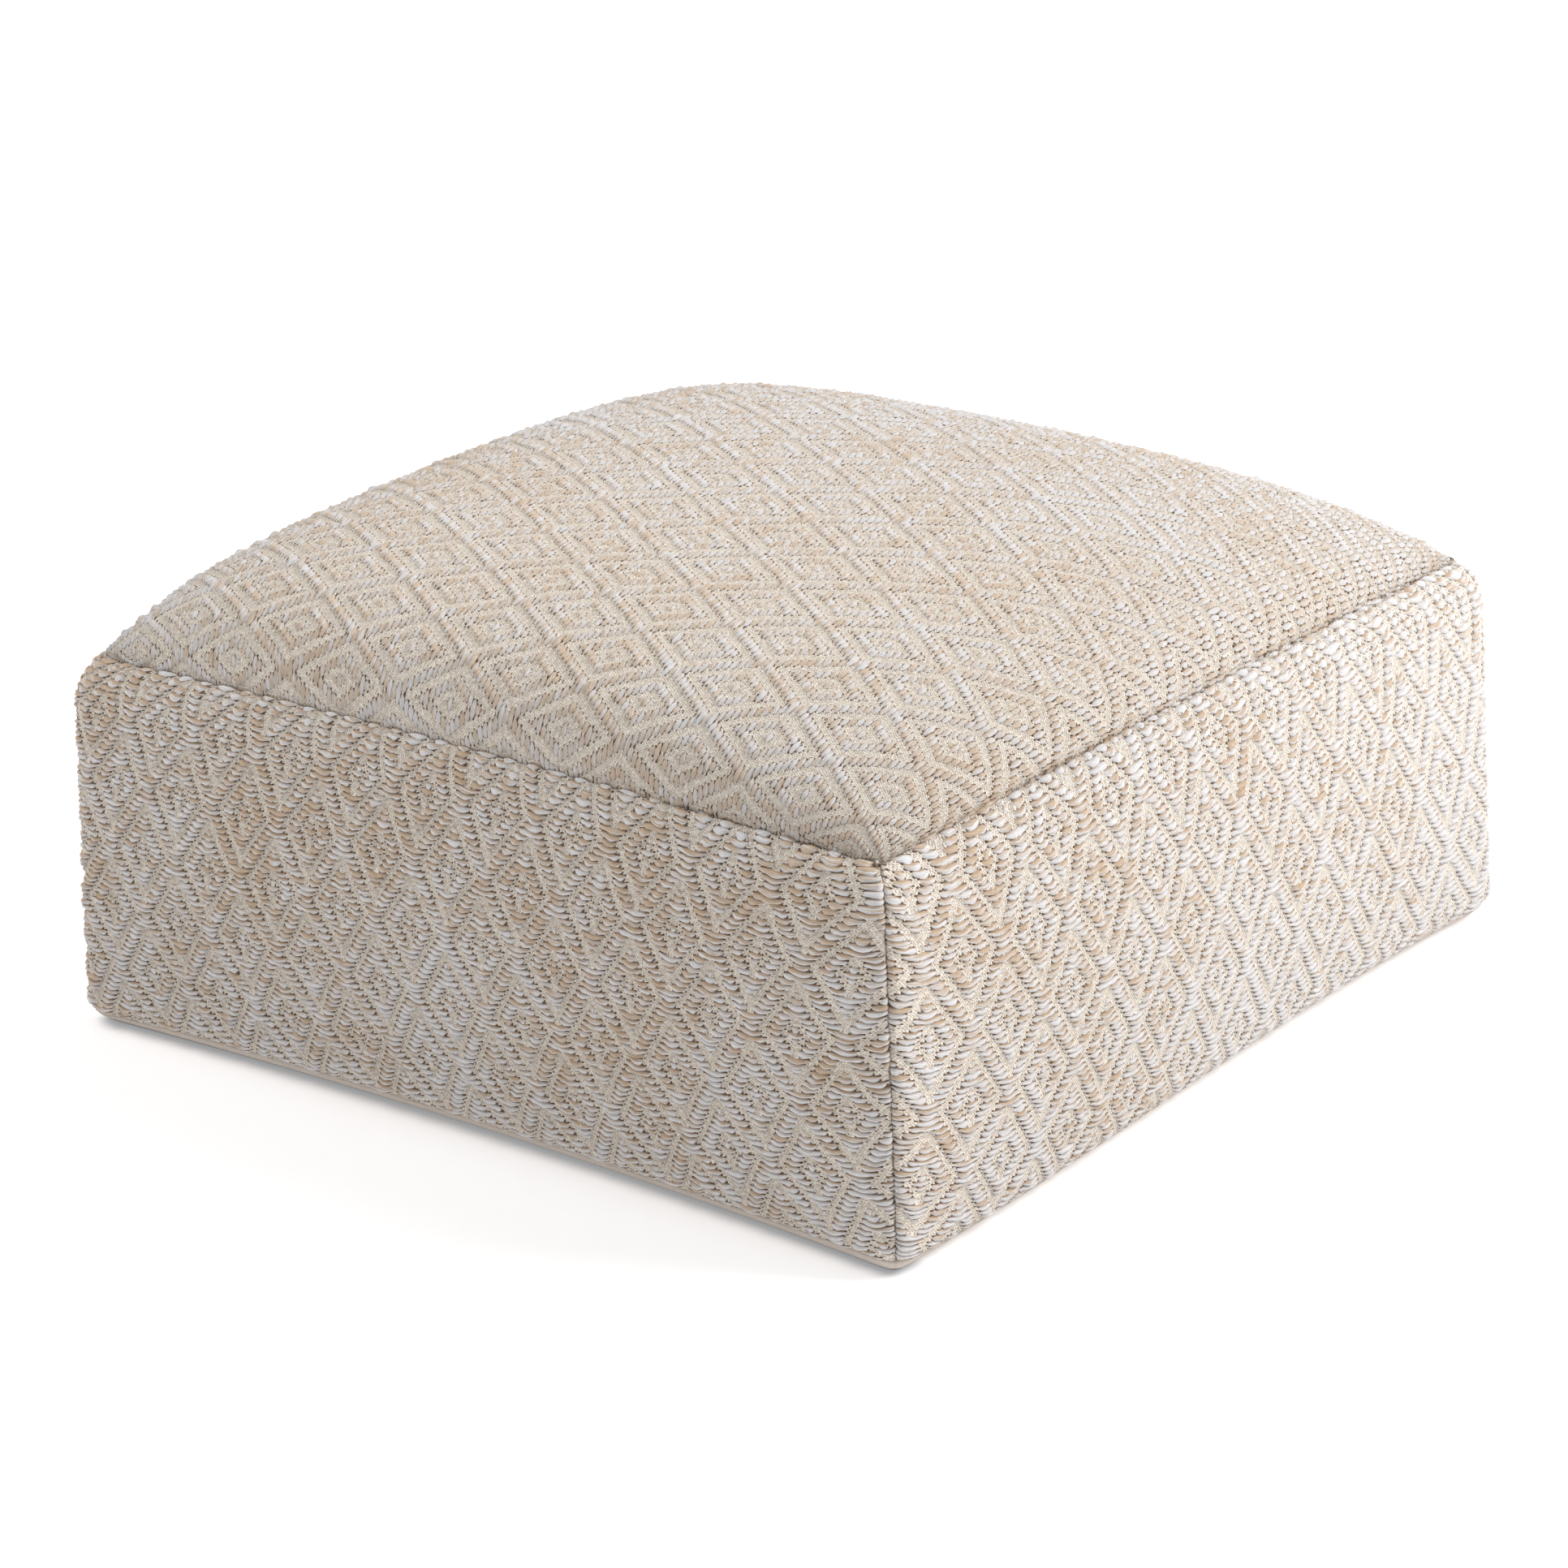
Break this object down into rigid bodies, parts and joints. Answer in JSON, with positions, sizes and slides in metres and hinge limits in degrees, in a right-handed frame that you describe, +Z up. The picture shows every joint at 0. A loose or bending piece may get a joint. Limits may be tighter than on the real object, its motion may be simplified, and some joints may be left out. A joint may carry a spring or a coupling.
{
  "type": "pouf stool",
  "caption": "Low square floor pouf in heavy cream and tan woven cloth: a crowned top panel and side panels sewn edge to edge over a soft filling, on a plain canvas base.",
  "frame": {"origin": "on the floor, under the middle of the pouf's bounding box", "axes": "+Z up; X and Y run along the sides, with -Y the front panel's side"},
  "size_m": [0.619, 0.6107, 0.2944],
  "materials": {
    "woven_cloth": "matte, thick relief weave of cream, tan and pale grey-blue yarns in nested diamonds",
    "base_canvas": "matte plain-weave canvas"
  },
  "bodies": {
    "root": {"top_panel": "woven_cloth", "side_panel_front": "woven_cloth", "side_panel_right": "woven_cloth", "side_panel_back": "woven_cloth", "side_panel_left": "woven_cloth", "base_panel": "base_canvas"}
  },
  "joints": []
}
